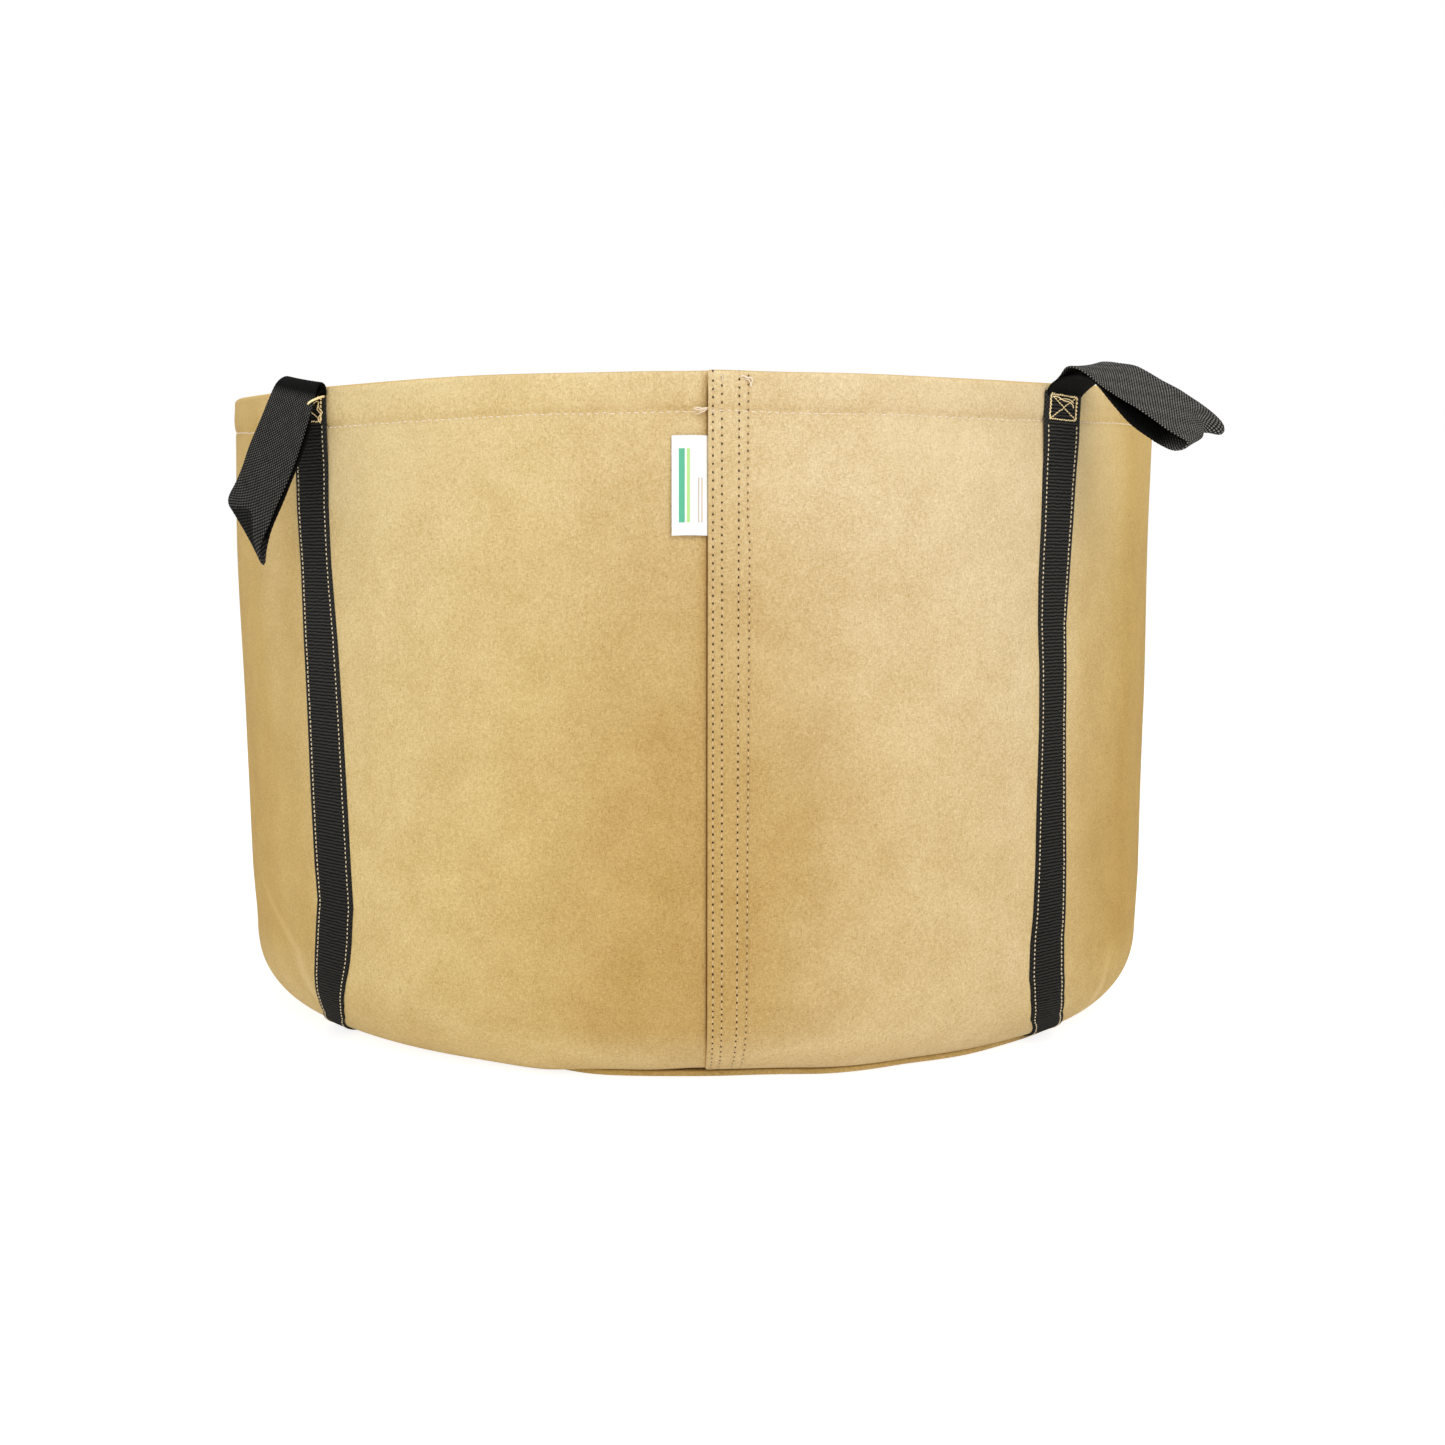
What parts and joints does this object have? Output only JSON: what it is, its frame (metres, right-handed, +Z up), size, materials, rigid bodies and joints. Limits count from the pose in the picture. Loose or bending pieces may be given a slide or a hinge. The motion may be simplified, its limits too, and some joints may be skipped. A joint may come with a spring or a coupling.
{
  "type": "fabric grow bag",
  "caption": "Round felt plant pot with a hemmed rim, a lapped side seam, webbing straps down the wall and over the base corner, folding webbing carry loops at the rim and a sewn-in tag.",
  "frame": {"origin": "centre of the underside of the base, on the ground", "axes": "+Z up through the open top; the lapped side seam and the tag face the front, -Y; +X is to the right seen from the front"},
  "size_m": [0.814, 0.8139, 0.5174],
  "materials": {
    "felt": "needle-punched non-woven felt, matt, slightly fuzzy",
    "ribbed_webbing": "ribbed polypropylene webbing with a fine sheen",
    "handle_webbing": "coarse basket-weave webbing, dull",
    "tag": "smooth white satin tape",
    "cream_thread": "twisted sewing thread",
    "gold_thread": "twisted sewing thread"
  },
  "bodies": {
    "bag": {"wall_panel": "felt", "base_panel": "felt", "base_seam_thread": "cream_thread", "hem_thread": "cream_thread", "side_seam_thread_1": "cream_thread", "side_seam_thread_2": "cream_thread", "side_seam_thread_3": "cream_thread", "side_seam_thread_4": "cream_thread", "strap_front_left": "ribbed_webbing", "handle_anchor_front_left": "handle_webbing", "strap_thread_left_front_left": "cream_thread", "strap_thread_right_front_left": "cream_thread", "box_tack_front_left": "gold_thread", "strap_front_right": "ribbed_webbing", "handle_anchor_front_right": "handle_webbing", "strap_thread_left_front_right": "cream_thread", "strap_thread_right_front_right": "cream_thread", "box_tack_front_right": "gold_thread", "strap_back_right": "ribbed_webbing", "handle_anchor_back_right": "handle_webbing", "strap_thread_left_back_right": "cream_thread", "strap_thread_right_back_right": "cream_thread", "box_tack_back_right": "gold_thread", "strap_back_left": "ribbed_webbing", "handle_anchor_back_left": "handle_webbing", "strap_thread_left_back_left": "cream_thread", "strap_thread_right_back_left": "cream_thread", "box_tack_back_left": "gold_thread"},
    "handle_front_left": {"handle_loop_front_left": "handle_webbing"},
    "handle_front_right": {"handle_loop_front_right": "handle_webbing"},
    "handle_back_right": {"handle_loop_back_right": "handle_webbing"},
    "handle_back_left": {"handle_loop_back_left": "handle_webbing"},
    "tag": {"label_tag": "tag"}
  },
  "joints": [
    {"name": "handle_front_left_swing", "type": "hinge", "parent": "bag", "child": "handle_front_left", "pos_m": [-0.28986, -0.29755, 0.5155], "axis": [-0.7163, 0.6978, 0], "range_deg": [-13, 211]},
    {"name": "handle_front_right_swing", "type": "hinge", "parent": "bag", "child": "handle_front_right", "pos_m": [0.28986, -0.29755, 0.5155], "axis": [-0.7163, -0.6978, 0], "range_deg": [-57, 167]},
    {"name": "handle_back_right_swing", "type": "hinge", "parent": "bag", "child": "handle_back_right", "pos_m": [0.29373, 0.29373, 0.5155], "axis": [0.7071, -0.7071, 0], "range_deg": [-42, 182]},
    {"name": "handle_back_left_swing", "type": "hinge", "parent": "bag", "child": "handle_back_left", "pos_m": [-0.29373, 0.29373, 0.5155], "axis": [0.7071, 0.7071, 0], "range_deg": [-26, 198]},
    {"name": "tag_flip", "type": "hinge", "parent": "bag", "child": "tag", "pos_m": [0.01808, -0.40597, 0.4348], "axis": [0, 0, 1], "range_deg": [0, 165]}
  ]
}
